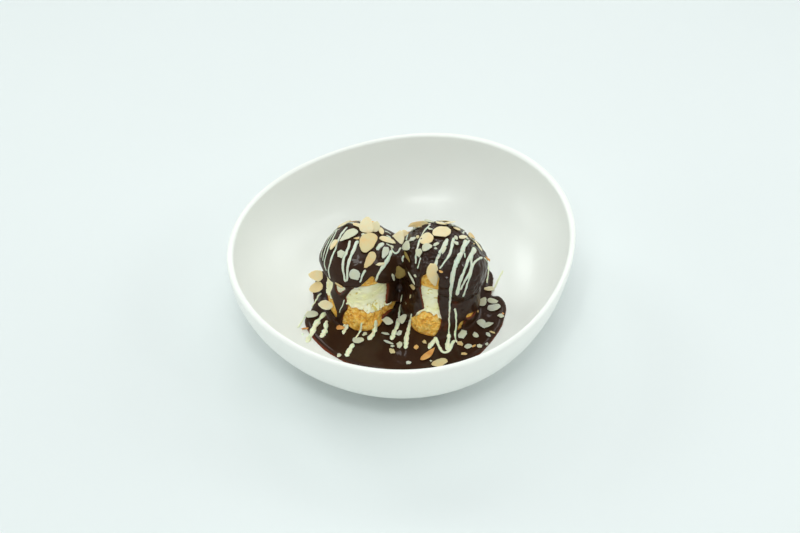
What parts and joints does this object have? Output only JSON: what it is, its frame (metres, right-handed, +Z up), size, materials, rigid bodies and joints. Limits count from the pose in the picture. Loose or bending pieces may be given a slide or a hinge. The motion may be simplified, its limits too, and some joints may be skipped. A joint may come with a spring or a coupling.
{
  "type": "ice cream profiterole dessert",
  "caption": "Filled choux buns with ice cream under chocolate sauce, flaked almonds and white chocolate drizzle, in an oval porcelain bowl.",
  "frame": {"origin": "on the table, under the middle of the bowl's rim", "axes": "+Z up, the front with the bare ice cream towards -Y, +X to the right seen from the front"},
  "size_m": [0.232, 0.2291, 0.0761],
  "materials": {
    "porcelain": "white glaze, glossy",
    "choux": "baked choux pastry, golden crust and crumb, dull",
    "ice_cream": "vanilla ice cream, soft and slightly wet",
    "chocolate": "dark chocolate sauce, wet and glossy, with ivory flaked almonds and white chocolate on it",
    "almond": "flaked almond, tan with an ivory edge, dull",
    "white_chocolate": "set white chocolate, smooth and slightly glossy"
  },
  "bodies": {
    "root": {"bowl": "porcelain", "sauce_pool": "chocolate", "choux_base_left": "choux", "ice_cream_left": "ice_cream", "choux_cap_left": "choux", "sauce_coat_left": "chocolate", "choux_base_right": "choux", "ice_cream_right": "ice_cream", "choux_cap_right": "choux", "sauce_coat_right": "chocolate"}
  },
  "joints": []
}
